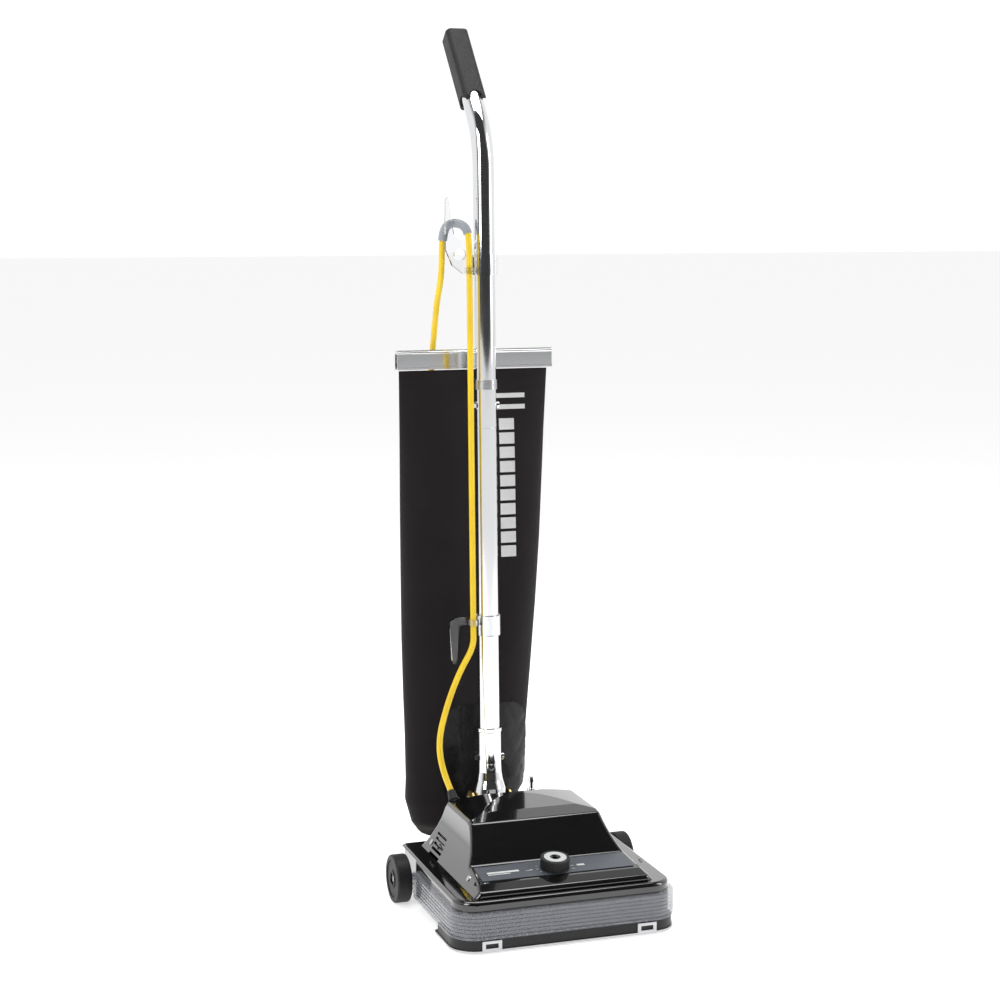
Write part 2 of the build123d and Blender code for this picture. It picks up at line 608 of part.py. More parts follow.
def bag_form(inset):
    """The bag's outline from the front crossed with its outline from the side."""
    front = make_face(Polyline(*[(x, Y(380), z) for x, z in BAG_FRONT], close=True))
    side = make_face(Polyline(*[(-150, Y(d), z) for d, z in BAG_SIDE], close=True))
    if inset:
        front, side = offset(front, amount=-inset), offset(side, amount=-inset)
    return extrude(front, amount=100, dir=(0, 1, 0)) & extrude(side, amount=300, dir=(1, 0, 0))


def cloth_bag():
    """Plain form of the cloth bag: a thin skin with its hem and its inlet over the exhaust duct."""
    hem = Pos(0, CLAMP_BACK, CLAMP_S0 + 6) * Box(234, 9.6, 26) - Pos(0, CLAMP_BACK, CLAMP_S0 + 16) * Box(
        250, 3.1, 12.1)
    bag = bag_form(0) - bag_form(BAG_CLOTH) + HANDLE * hem
    return bag - exhaust_hollow(380, 396)


# ---- switch --------------------------------------------------------------------------------------
SWITCH_X, SWITCH_DEPTH = 44.0, 286.0


def switch_sleeve():
    """Chrome sleeve of the foot switch, on its square body."""
    body = rod_z(6.6, 74, 140, SWITCH_X, SWITCH_DEPTH)
    body += block(SWITCH_X - 9, SWITCH_X + 9, SWITCH_DEPTH - 6, SWITCH_DEPTH + 12, BASE_TOP + 0.1, 76)
    return body - rod_z(3.0 + RUN, 84, 150, SWITCH_X, SWITCH_DEPTH)


def switch_plunger():
    """Push rod of the foot switch."""
    stem = rod_z(3.0, 96, 156, SWITCH_X, SWITCH_DEPTH)
    return stem + rod_z(4.6, 150, 158, SWITCH_X, SWITCH_DEPTH)




# ---- cord ----------------------------------------------------------------------------------------
COIL_X, COIL_DEPTH, COIL_R, COIL_HALF, COIL_TALL = 96.0, 412.0, 67.0, 20.0, 38.0
GROMMET = Pos(-86, Y(256), 140) * Rot(-53, 0, 0)          # local Z points out of the hood, up and back
FLOOR_RUN_Z = CORD_D / 2 + 0.1
RELIEF = 18.0                                             # strain relief, length outside the hood


def arc_radius(a, b, c):
    """Largest arc that suits the corner at b: 0.45 of the shorter run over the tangent of half the turn."""
    a, b, c = Vector(*a), Vector(*b), Vector(*c)
    turn = math.radians((b - a).get_angle(c - b))
    return 0.45 * min((b - a).length, (c - b).length) / math.tan(turn / 2)


def cord_run(points, name):
    """Cord tube along straight runs joined by arcs as large as the runs allow."""
    points = [Vector(*p) for p in points]
    radii = [arc_radius(*corner) for corner in zip(points, points[1:], points[2:])]
    path = FilletPolyline(*points, radius=radii)
    tube = sweep(Plane(path @ 0, z_dir=path % 0) * Circle(CORD_D / 2), path=path)
    expected = math.pi * CORD_D ** 2 / 4 * path.length
    print(f"{name}: length {path.length:.0f}, tightest arc {min(radii):.0f},",
          f"volume {tube.volume:.0f} of {expected:.0f}")
    return tube


def at(x, depth, z):
    return (x, Y(depth), z)


def cord_lower():
    """From the grommet up to the lower hook."""
    exit_point = (GROMMET * Pos(0, 0, RELIEF)).position
    return cord_run([exit_point, at(-87.5, 281, 159.5), at(-92, 290.5, 178), at(-95.5, 297, 202),
                     at(-92, 307, 227), at(-80, 323, 252), at(-65, 336, 282), at(-48, 344, 314),
                     on_handle(CORD_SIDE, CORD_FRONT, 236), on_handle(CORD_SIDE, CORD_FRONT, 262)],
                    "cord_lower")


HANDLE_RUN = [(CORD_SIDE, CORD_FRONT, 262), (CORD_SIDE, CORD_FRONT, 863), (-55, 20, 865), (-57, 27, 809)]


def cord_handle():
    """Straight beside the tube, then over the upper hook."""
    return cord_run([on_handle(*p) for p in HANDLE_RUN], "cord_handle")


def cord_drop():
    """Down behind the bag to the coil on the floor."""
    return cord_run([on_handle(-57, 27, 809), on_handle(-58, 30.5, 781), at(-58, 424, 860),
                     at(-57, 441, 816), at(-56, 462, 760),
                     at(-53, 478, 690), at(-46, 487, 590), at(-34, 491, 480), at(-17, 492, 370),
                     at(5, 491, 265), at(31, 488, 180), at(56, 483, 115), at(76, 480, 72),
                     at(96, COIL_DEPTH + COIL_R, COIL_TALL + 2)], "cord_drop")


def cord_coil():
    """Outer form of the coil of put-away cord."""
    section = RectangleRounded(2 * COIL_HALF, COIL_TALL, 7)
    ring = revolve(Plane.XZ * (Pos(COIL_R, COIL_TALL / 2) * section), axis=Axis.Z)
    return Pos(COIL_X, Y(COIL_DEPTH), 0.1) * ring


def cord_tail():
    """From the coil to the plug, along the floor."""
    z = FLOOR_RUN_Z
    return cord_run([at(COIL_X, COIL_DEPTH - 79, z), at(62, 330, z), at(29, 332, z), at(2, 341, z),
                     at(-18, 358, z), at(-28, 381, z), at(-30, 402, z)], "cord_tail")


PLUG = Pos(-30, Y(402), FLOOR_RUN_Z) * Rot(-90, 0, 0)      # local Z runs out of the plug's face


def plug_body():
    """Moulded three-pin plug with its strain relief."""
    relief = Cone(CORD_D / 2 + 0.8, 7.5, 22, align=(Align.CENTER, Align.CENTER, Align.MIN))
    body = Pos(0, -7.5, 20) * extrude(RectangleRounded(27, 24, 6), amount=36)
    body = body + relief
    return (PLUG * body) & block(-100, 50, 380, 500, 0.1, 60)


def plug_pins():
    pins = [Pos(x, -8.5, 64) * Box(1.6, 6.4, 16) for x in (-6.4, 6.4)]
    pins.append(Pos(0, -0.9, 65) * Cylinder(2.4, 18))
    return Compound(children=[PLUG * p for p in pins])


def cord_grommet():
    """Rubber grommet in the hood, with a tapered strain relief round the cord."""
    body = Pos(0, 0, 1.4) * Cylinder(8.5, 1.8) + Pos(0, 0, -2) * Cylinder(6.4, 6)
    body += Pos(0, 0, RELIEF / 2 + 1) * Cone(7.6, 5.7, RELIEF - 2)
    return GROMMET * (body - Cylinder(CORD_D / 2 + 0.05, 60))


def cord_sleeve():
    """Grey sleeve that saves the cord from chafing over the upper hook."""
    low, first, second, last = [on_handle(*p) for p in HANDLE_RUN]
    radii = [arc_radius(low, first, second), arc_radius(first, second, last)]
    reach = 24.0
    start = first + (low - first).normalized() * reach
    end = second + (last - second).normalized() * reach
    path = FilletPolyline(start, first, second, end, radius=radii)
    section = Plane(path @ 0, z_dir=path % 0)
    outer, inner = (sweep(section * Circle(r), path=path) for r in (6.6, CORD_D / 2 + 0.1))
    return outer - inner


# ---- fasteners -----------------------------------------------------------------------------------
def screws():
    """Pan-head screws: two in each end plate, and two in the foot of the pivot bracket."""
    heads = []
    for side in (-1, 1):
        for depth in (62, 236):
            place = Pos(side * 124.0, Y(depth), 87.0) * Rot(0, side * 57, 0)
            heads.append(place * (Pos(0, 0, 3.0) * Cylinder(4.2, 2.2)))
        heads.append(Pos(side * 38, Y(BASE_DEPTH + 4.7), 45) * Rot(90, 0, 0) * Cylinder(4.5, 2.8))
    return Compound(children=heads)


def main():
    os.makedirs("parts", exist_ok=True)
    hood, end_left, end_right = hood_parts()
    solids = {
        "base_housing": base_housing(), "bumper": bumper(), "nozzle_rim": nozzle_rim(),
        "bottom_plate": bottom_plate(), "hood": hood,
        "end_plate_left": end_left, "end_plate_right": end_right,
        "label_strip": label_strip(), "height_knob": height_knob(), "knob_dial": knob_dial(),
        "height_carriage": height_carriage(), "brush_roller": brush_roller(), "bristle_rows": bristle_rows(),
        "brush_shaft": brush_shaft(), "drive_belt": drive_belt(), "motor_pulley": motor_pulley(),
        "motor_housing": motor_housing(), "motor_bearings": motor_bearings(), "field_core": field_core(),
        "armature": armature(), "brush_holders": brush_holders(), "fan_housing": fan_housing(), "fan": fan(),
        "intake_duct": intake_duct(), "exhaust_duct": exhaust_duct(), "bag_cuff": bag_cuff(),
        "rear_axle": rear_axle(), "axle_nuts": axle_nuts(), "pivot_bracket": pivot_bracket(),
        "pivot_pin": pivot_pin(), "handle_socket": handle_socket(), "tube_lower": tube_lower(),
        "tube_upper": tube_upper(), "tube_bolts": tube_bolts(), "tube_nuts": tube_nuts(), "grip": grip(),
        "lower_hook": lower_hook(), "upper_hook": upper_hook(), "bag_clamp": bag_clamp(),
        "bag_rail": bag_rail(), "bag_hanger": bag_hanger(), "cloth_bag": cloth_bag(),
        "switch_sleeve": switch_sleeve(), "switch_plunger": switch_plunger(), "screws": screws(),
        "cord_grommet": cord_grommet(),
        "cord_lower": cord_lower(), "cord_handle": cord_handle(), "cord_sleeve": cord_sleeve(),
        "cord_drop": cord_drop(), "cord_coil": cord_coil(), "cord_tail": cord_tail(),
        "plug_body": plug_body(), "plug_pins": plug_pins(),
    }
    for name, side in (("left", -1), ("right", 1)):
        solids[f"rear_wheel_{name}"] = rear_wheel(side)
        solids[f"front_roller_{name}"] = front_roller(side)
        solids[f"plate_latch_{name}"] = plate_latch(side)
    for name, solid in solids.items():
        export_step(solid, f"parts/{name}.step")
    print(len(solids), "nodes")


main()
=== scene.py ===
"""Looks of the upright vacuum cleaner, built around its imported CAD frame.

Metres, in the frame's own axes: the front is -Y, +X is to the right in the picture, the floor is Z = 0.
Depths are counted back from the front of the bumper, as in part.py.
"""
import math

import bpy
import numpy as np
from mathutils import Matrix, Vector


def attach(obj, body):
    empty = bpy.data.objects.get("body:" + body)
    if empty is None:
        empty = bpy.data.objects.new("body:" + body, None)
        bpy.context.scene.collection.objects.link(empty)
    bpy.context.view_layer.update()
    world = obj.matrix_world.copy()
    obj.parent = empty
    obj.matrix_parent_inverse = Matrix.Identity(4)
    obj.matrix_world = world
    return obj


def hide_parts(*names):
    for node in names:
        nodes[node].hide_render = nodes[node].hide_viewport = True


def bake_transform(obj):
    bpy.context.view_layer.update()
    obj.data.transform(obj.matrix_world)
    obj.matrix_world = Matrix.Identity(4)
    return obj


MM = 0.001
DEPTH = 528.0                     # bumper to grip
PIVOT_DEPTH, PIVOT_Z, LEAN = 350.0, 112.0, 1.72
CORD_D = 9.0
CORD_YELLOW = (0.86, 0.60, 0.010)
GRIP_ANGLE = 41.0                 # degrees back from upright
FLOOR_GLOW, FLOOR_HALF = 0.58, 40.0
ROOM_DARK, ROOM_WHITE = 0.05, 1.05
CAMERA_YAW, CAMERA_PITCH, CAMERA_LENS = 18.7, 8.0, 74.8
CAMERA_PLACE = (-966.3, -2553.1, 998.0)


def at(x, depth, z):
    """Point in metres from x, depth and height in millimetres."""
    return Vector((x, depth - DEPTH / 2, z)) * MM


def on_handle(x, back, up):
    """Point in metres from handle-local millimetres: beside, behind and up the tube's axis."""
    lean = math.radians(LEAN)
    return at(x, PIVOT_DEPTH + back * math.cos(lean) + up * math.sin(lean),
              PIVOT_Z + up * math.cos(lean) - back * math.sin(lean))


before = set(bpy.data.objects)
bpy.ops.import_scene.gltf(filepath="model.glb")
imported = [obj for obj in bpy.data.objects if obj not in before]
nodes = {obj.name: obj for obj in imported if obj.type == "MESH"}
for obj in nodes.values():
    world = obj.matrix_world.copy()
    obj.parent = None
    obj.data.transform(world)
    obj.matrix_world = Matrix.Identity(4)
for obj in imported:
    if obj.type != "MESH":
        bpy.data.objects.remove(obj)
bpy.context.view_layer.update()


# ---- materials ----------------------------------------------------------------------------------
class Maker:
    """A node material on one Principled shader, with short calls for its texture nodes."""

    def __init__(self, name, colour, roughness, **sockets):
        self.material = bpy.data.materials.new(name)
        self.material.use_nodes = True
        self.tree = self.material.node_tree
        self.shader = self.tree.nodes["Principled BSDF"]
        self.shader.inputs["Base Color"].default_value = (*colour, 1)
        self.shader.inputs["Roughness"].default_value = roughness
        for socket, value in sockets.items():
            self.shader.inputs[socket.replace("_", " ")].default_value = value
        self.coords = self.tree.nodes.new("ShaderNodeTexCoord").outputs["Object"]

    def add(self, kind, links=(), **settings):
        node = self.tree.nodes.new("ShaderNode" + kind)
        for key, value in settings.items():
            setattr(node, key, value)
        for socket, source in dict(links).items():
            if isinstance(source, bpy.types.NodeSocket):
                self.tree.links.new(source, node.inputs[socket])
            else:
                node.inputs[socket].default_value = source
        return node

    def mapped(self, scale=(1, 1, 1), rotation=(0, 0, 0), source=None):
        """Coordinates scaled and turned, in metres."""
        return self.add("Mapping", {"Vector": source or self.coords, "Scale": scale,
                                    "Rotation": rotation}).outputs["Vector"]

    def noise(self, scale, detail=4.0, vector=None):
        return self.add("TexNoise", {"Vector": vector or self.coords, "Scale": scale,
                                     "Detail": detail}).outputs["Fac"]

    def wave(self, scale, vector):
        """Sine bands along X of vector: scale / (2 pi) x 20 of them per unit."""
        return self.add("TexWave", {"Vector": vector, "Scale": scale},
                        bands_direction="X").outputs["Fac"]

    def maths(self, operation, a, b=0.0):
        node = self.add("Math", operation=operation)
        for socket, source in zip(node.inputs, (a, b)):
            if isinstance(source, bpy.types.NodeSocket):
                self.tree.links.new(source, socket)
            else:
                socket.default_value = source
        return node.outputs[0]

    def between(self, value, low, high):
        return self.maths("MULTIPLY", self.maths("GREATER_THAN", value, low),
                          self.maths("LESS_THAN", value, high))

    def range(self, value, low, high):
        return self.add("MapRange", {"Value": value, "To Min": low, "To Max": high}).outputs["Result"]

    def mix(self, factor, a, b):
        node = self.add("Mix", data_type="RGBA")
        self.tree.links.new(factor, node.inputs[0])
        for socket, colour in ((node.inputs[6], a), (node.inputs[7], b)):
            if isinstance(colour, bpy.types.NodeSocket):
                self.tree.links.new(colour, socket)
            else:
                socket.default_value = (*colour, 1)
        return node.outputs[2]

    def set(self, socket, source):
        self.tree.links.new(source, self.shader.inputs[socket])
        return self

    def bump(self, height, distance, strength=1.0):
        node = self.add("Bump", {"Height": height, "Distance": distance, "Strength": strength})
        return self.set("Normal", node.outputs["Normal"])


def moulded(name, colour, roughness, coat=0.0, grain=0.0):
    """Moulded plastic or rubber: faint handling marks, and a fine grain where it has one."""
    m = Maker(name, colour, roughness, Coat_Weight=coat, Coat_Roughness=0.04,
              Specular_IOR_Level=0.5 if coat else 0.35)
    m.set("Roughness", m.range(m.noise(38, 5), roughness * 0.8, roughness * 1.25))
    lighter = [c * 1.4 + 0.001 for c in colour]
    m.set("Base Color", m.mix(m.noise(14, 3), colour, lighter))
    if grain:
        m.bump(m.noise(1500, 2), grain)
    return m.material


def metal(name, colour, low, high, stretch=(1, 1, 1), scale=60, bump=0.0):
    """Polished or brushed metal, its marks drawn out along an axis."""
    m = Maker(name, colour, low, Metallic=1.0)
    marks = m.noise(scale, 4, m.mapped(stretch))
    m.set("Roughness", m.range(marks, low, high))
    m.set("Base Color", m.mix(marks, colour, [c * 0.88 for c in colour]))
    if bump:
        m.bump(marks, bump)
    return m.material


def clear(name, colour, roughness):
    """Clear plastic with faint flow marks."""
    m = Maker(name, colour, roughness, Transmission_Weight=1.0, IOR=1.46)
    m.set("Roughness", m.range(m.noise(45, 4), roughness * 0.7, roughness * 1.5))
    return m.material


def clear_film(name, colour, roughness, alpha):
    """Ribbed clear band that lies close on a dark body: seen through, with its own gloss."""
    m = Maker(name, colour, roughness, Alpha=alpha, Coat_Weight=1.0, Coat_Roughness=0.05)
    m.set("Roughness", m.range(m.noise(45, 4), roughness * 0.7, roughness * 1.5))
    return m.material


def knurled_rubber():
    """Fine diamond knurl, as two sets of slanting grooves along the grip."""
    m = Maker("rubber_knurled", (0.006, 0.006, 0.007), 0.46, Specular_IOR_Level=0.28)
    axis = m.mapped(rotation=(math.radians(GRIP_ANGLE), 0, 0))
    grooves = [m.wave(160, m.mapped(rotation=(0, math.radians(turn), math.radians(45)), source=axis))
               for turn in (40, -40)]
    m.bump(m.maths("MULTIPLY", *grooves), 0.0005, 0.7)
    m.set("Roughness", m.range(m.noise(60), 0.34, 0.52))
    return m.material


def rubbed_cord():
    """Ribbed yellow jacket, a little soiled."""
    m = Maker("cord_jacket", CORD_YELLOW, 0.42)
    soil = m.noise(22, 5)
    m.set("Base Color", m.mix(m.range(soil, -0.4, 1.0), CORD_YELLOW, (0.66, 0.43, 0.008)))
    m.bump(m.noise(900, 3), 0.0001)
    return m.material


def label_satin():
    """Brushed satin panel."""
    m = Maker("label_satin", (0.1, 0.11, 0.13), 0.36)
    marks = m.noise(240, 3, m.mapped((0.03, 1, 1)))
    m.set("Base Color", m.mix(marks, (0.072, 0.082, 0.098), (0.1, 0.112, 0.13)))
    m.set("Roughness", m.range(marks, 0.3, 0.46))
    return m.material


def turned_wood():
    m = Maker("roller_wood", (0.45, 0.28, 0.13), 0.5)
    grain = m.noise(55, 6, m.mapped((0.12, 1, 1)))
    m.set("Base Color", m.mix(grain, (0.52, 0.34, 0.17), (0.3, 0.17, 0.075)))
    m.bump(grain, 0.0002)
    return m.material


def windings():
    """Painted laminations with copper between them."""
    m = Maker("motor_metal", (0.09, 0.09, 0.1), 0.45, Metallic=0.6)
    stack = m.wave(300, m.mapped())
    m.set("Base Color", m.mix(stack, (0.06, 0.06, 0.065), (0.34, 0.14, 0.05)))
    m.bump(stack, 0.0003)
    return m.material


gloss = moulded("black_gloss", (0.0025, 0.0026, 0.003), 0.10, coat=1.0)
satin = moulded("black_satin", (0.006, 0.006, 0.0065), 0.38, grain=0.00006)
rubber = moulded("rubber_black", (0.007, 0.007, 0.0075), 0.52, grain=0.0001)
vinyl = clear_film("clear_vinyl", (0.26, 0.27, 0.30), 0.14, 0.40)
acrylic = clear("clear_plastic", (0.95, 0.96, 0.97), 0.03)
chrome = metal("chrome_plate", (0.80, 0.81, 0.82), 0.03, 0.09, (1, 1, 0.15))
polished = metal("polished_channel", (0.82, 0.83, 0.84), 0.09, 0.2, (0.03, 1, 1), 260)
zinc = metal("yellow_zinc", (0.72, 0.55, 0.24), 0.26, 0.42, scale=90)
steel = metal("plain_steel", (0.52, 0.52, 0.53), 0.2, 0.36, (0.06, 1, 1), 200)
bright = metal("machined_ring", (0.74, 0.75, 0.76), 0.14, 0.26, scale=120)
brass = metal("plug_brass", (0.76, 0.55, 0.24), 0.2, 0.34)
aluminium = metal("cast_fan", (0.62, 0.63, 0.64), 0.35, 0.55, scale=180, bump=0.0001)
knurl, jacket, label, wood, winding = (
    knurled_rubber(), rubbed_cord(), label_satin(), turned_wood(), windings())
plug_yellow = moulded("plug_yellow", CORD_YELLOW, 0.42, grain=0.00008)
sleeve_grey = moulded("sleeve_grey", (0.23, 0.25, 0.27), 0.4)
nylon = moulded("bristle_nylon", (0.012, 0.012, 0.013), 0.5)

FINISHES = {
    gloss: ["base_housing", "hood", "end_plate_left", "end_plate_right"],
    satin: ["nozzle_rim", "height_knob", "fan_housing", "intake_duct", "exhaust_duct",
            "front_roller_left", "front_roller_right"],
    rubber: ["rear_wheel_left", "rear_wheel_right", "bag_cuff", "cord_grommet", "drive_belt"],
    knurl: ["grip"],
    vinyl: ["bumper"],
    acrylic: ["lower_hook", "upper_hook"],
    chrome: ["handle_socket", "tube_lower", "tube_upper", "switch_sleeve", "switch_plunger", "tube_bolts",
             "tube_nuts"],
    polished: ["bag_clamp"],
    zinc: ["pivot_bracket", "pivot_pin", "height_carriage"],
    steel: ["bottom_plate", "brush_shaft", "motor_pulley", "motor_bearings", "rear_axle", "axle_nuts",
            "bag_rail", "bag_hanger", "screws", "plate_latch_left", "plate_latch_right"],
    bright: ["knob_dial"],
    brass: ["plug_pins", "brush_holders"],
    aluminium: ["fan"],
    winding: ["motor_housing", "field_core", "armature"],
    label: ["label_strip"],
    wood: ["brush_roller"],
    nylon: ["bristle_rows"],
    plug_yellow: ["plug_body"],
}
for finish, names in FINISHES.items():
    for name in names:
        nodes[name].data.materials.clear()
        nodes[name].data.materials.append(finish)


def new_piece(name, vertices, faces, material, smooth=True):
    mesh = bpy.data.meshes.new(name)
    mesh.from_pydata([tuple(v) for v in vertices], [], faces)
    mesh.materials.append(material)
    mesh.polygons.foreach_set("use_smooth", [smooth] * len(mesh.polygons))
    mesh.update()
    piece = bpy.data.objects.new(name, mesh)
    bpy.context.scene.collection.objects.link(piece)
    return piece


# ---- cord ---------------------------------------------------------------------------------------
FLOOR_Z = CORD_D / 2 + 0.1
COIL_X, COIL_DEPTH = 96.0, 412.0
OUTER_TURN, TURN_GAP, LAYER_GAP = 81.2, 9.4, 9.3
LAYERS, TURNS = 4, 4
SHIFT = 48                        # degrees over which a turn moves to the next one
COIL_STEP = 16                    # degrees between the coil's points


def ease(t):
    t = min(max(t, 0.0), 1.0)
    return t * t * (3 - 2 * t)


def coil_moves():
    """(angle travelled, outward move, downward move) of each shift from one turn to the next."""
    moves, angle, inward = [], 292.0, -1
    for layer in range(LAYERS):
        for _ in range(TURNS - 1):
            moves.append((angle, inward * TURN_GAP, 0.0))
            angle += 360
        angle -= SHIFT
        if layer < LAYERS - 1:
            moves.append((angle, 0.0, -LAYER_GAP))
            angle += 360 - SHIFT
        inward = -inward
    return moves


def coil_points():
    """Turns laid beside and on each other, from the rear of the top layer to the front of the lowest."""
    moves = coil_moves()
    last = moves[-1][0] + SHIFT
    travelled = 180 + 360 * math.ceil((last - 180) / 360)
    points = []
    for angle in range(COIL_STEP, travelled, COIL_STEP):
        radius, z = OUTER_TURN, FLOOR_Z + (LAYERS - 1) * LAYER_GAP
        for start, outward, up in moves:
            done = ease((angle - start) / SHIFT)
            radius, z = radius + outward * done, z + up * done
        turn = math.radians(90 - angle)
        points.append(at(COIL_X + radius * math.cos(turn), COIL_DEPTH + radius * math.sin(turn), z))
    return points


CORD_LOWER = [at(-86, 270.4, 150.8), at(-87.5, 281, 159.5), at(-92, 290.5, 178), at(-95.5, 297, 202),
              at(-92, 307, 227), at(-80, 323, 252), at(-65, 336, 282), at(-48, 344, 314),
              on_handle(-27, -12, 236), on_handle(-27, -12, 262)]
CORD_HANDLE = [on_handle(-27, -12, 805), on_handle(-27, -12, 840), on_handle(-30, -8, 859),
               on_handle(-42, 6, 866), on_handle(-54, 19, 861), on_handle(-57, 25, 840)]
CORD_DROP = [on_handle(-57, 27, 809), on_handle(-58, 30.5, 781), at(-58, 424, 860), at(-57, 441, 816),
             at(-56, 462, 760), at(-53, 478, 690), at(-46, 487, 590), at(-34, 491, 480), at(-17, 492, 370),
             at(5, 491.5, 265), at(27, 491.5, 180), at(46, 492, 115), at(64, 493, 72), at(82, 493.4, 45)]
CORD_TAIL = [at(88, 330.6, FLOOR_Z), at(62, 330, FLOOR_Z), at(29, 332, FLOOR_Z), at(2, 341, FLOOR_Z),
             at(-18, 358, FLOOR_Z), at(-28, 381, FLOOR_Z), at(-30, 402, FLOOR_Z)]


def centreline(points):
    """Points along the smooth NURBS curve of these control points."""
    curve = bpy.data.curves.new("cord_route", "CURVE")
    curve.dimensions = "3D"
    spline = curve.splines.new("NURBS")
    spline.points.add(len(points) - 1)
    for target, point in zip(spline.points, points):
        target.co = (*point, 1)
    spline.order_u = 3
    spline.use_endpoint_u = True
    spline.resolution_u = 8
    route = bpy.data.objects.new("cord_route", curve)
    mesh = bpy.data.meshes.new_from_object(route)
    line = [v.co.copy() for v in mesh.vertices]
    bpy.data.objects.remove(route)
    kept = line[:1]
    for point in line[1:-1]:
        if (point - kept[-1]).length > 2.6 * MM:
            kept.append(point)
    return kept + line[-1:]


def tube(name, line, radius, material, sides=12):
    """Closed tube round a line, its ring carried along without twist."""
    vertices, faces = [], []
    side = None
    for i, point in enumerate(line):
        ahead = (line[min(i + 1, len(line) - 1)] - line[max(i - 1, 0)]).normalized()
        side = (side - ahead * side.dot(ahead)).normalized() if side else ahead.orthogonal().normalized()
        up = ahead.cross(side)
        for k in range(sides):
            turn = 2 * math.pi * k / sides
            vertices.append(point + (side * math.cos(turn) + up * math.sin(turn)) * radius)
    for i in range(len(line) - 1):
        for k in range(sides):
            a, b = i * sides + k, i * sides + (k + 1) % sides
            faces.append((a, b, b + sides, a + sides))
    faces += [tuple(reversed(range(sides))), tuple(range(len(vertices) - sides, len(vertices)))]
    return new_piece(name, vertices, faces, material)


cord_line = centreline(CORD_LOWER + CORD_HANDLE + CORD_DROP + coil_points() + CORD_TAIL)
cord = tube("cord_yellow", cord_line, CORD_D / 2 * MM, jacket)
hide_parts("cord_lower", "cord_handle", "cord_drop", "cord_coil", "cord_tail")
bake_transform(cord)

top = max(range(len(cord_line)), key=lambda i: cord_line[i].z)
arch_start = min(range(top), key=lambda i: (cord_line[i] - on_handle(-27, -12, 850)).length)
arch_end = min(range(top, top + 60), key=lambda i: (cord_line[i] - on_handle(-56.5, 25, 838)).length)
sleeve = tube("cord_sleeve_soft", cord_line[arch_start:arch_end], 6.4 * MM, sleeve_grey, 20)
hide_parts("cord_sleeve")
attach(sleeve, "handle")


# ---- bag ----------------------------------------------------------------------------------------
BAG_LEFT = [(757, -118), (660, -117), (560, -116.5), (350, -114), (200, -110), (130, -109), (98, -110.5),
            (62, -101), (44, -88), (36, -70)]
BAG_RIGHT = [(757, 116), (661, 111.5), (500, 105.5), (397, 99.5), (287, 91.5), (192, 83.5), (113, 75.5),
             (84, 68), (60, 52), (47, 38), (38, 10)]
BAG_FRONT_FACE = [(757, 420), (620, 408.5), (450, 400.5), (250, 397.5), (120, 393.5), (60, 394), (36, 402)]
BAG_BACK_FACE = [(757, 428), (620, 443), (450, 457), (260, 465), (100, 463), (60, 457), (36, 449)]
BAG_TOP, BAG_BOTTOM = 757.0, 38.0
BAG_ROWS, BAG_SIDES = 150, 120
PATCH = (-0.063, 0.080, 0.096, 0.247)     # x0, x1, z0, z1 of the shiny patch


def follow(profile, z):
    heights, values = zip(*reversed(profile))
    return float(np.interp(z, heights, values))


def cloth_ripple(x, z, front):
    """Slack in the cloth: long soft pleats that deepen towards the bottom, in millimetres."""
    low = ease((640 - z) / 480)
    pleat = 1.5 * math.sin(x / 15.0 + 1.7 * math.sin(z / 130.0) + (0.6 if front else 2.4))
    drape = 1.1 * math.sin(z / 31.0 + x / 40.0) * ease((330 - z) / 220)
    crease = 1.2 * math.sin((z * 0.8 + x) / 17.0) * ease((x + 20) / 70) * ease((300 - z) / 160)
    return pleat * (0.25 + low) + drape + crease


def bag_mesh():
    """Flat tube of cloth, closed at the bottom, with its UV in metres across and up."""
    vertices, uv_of = [], []
    for row in range(BAG_ROWS + 1):
        z = BAG_TOP + (BAG_BOTTOM - BAG_TOP) * row / BAG_ROWS
        left, right = follow(BAG_LEFT, z), follow(BAG_RIGHT, z)
        front, back = follow(BAG_FRONT_FACE, z), follow(BAG_BACK_FACE, z)
        closing = ease((z - BAG_BOTTOM) / 26)
        middle, half = (left + right) / 2, (right - left) / 2
        depth, thick = (front + back) / 2, (back - front) / 2 * (0.25 + 0.75 * closing)
        squareness = 7.0 - 3.4 * ease((720 - z) / 500)
        for k in range(BAG_SIDES):
            turn = 2 * math.pi * k / BAG_SIDES
            c, s = math.cos(turn), math.sin(turn)
            x = middle + half * c
            y = depth + math.copysign(thick * math.sqrt(max(0.0, 1 - abs(c) ** squareness)), s)
            ripple = cloth_ripple(x, z, s < 0) * abs(s) ** 0.5
            y += (-0.2 + max(-1.6, min(1.6, ripple))) if s < 0 else ripple
            vertices.append(at(x, y, z))
            uv_of.append((x * MM, z * MM))
    faces = []
    for row in range(BAG_ROWS):
        for k in range(BAG_SIDES):
            a, b = row * BAG_SIDES + k, row * BAG_SIDES + (k + 1) % BAG_SIDES
            faces.append((a, a + BAG_SIDES, b + BAG_SIDES, b))
    faces.append(tuple(range(BAG_ROWS * BAG_SIDES, (BAG_ROWS + 1) * BAG_SIDES)))
    return vertices, faces, uv_of


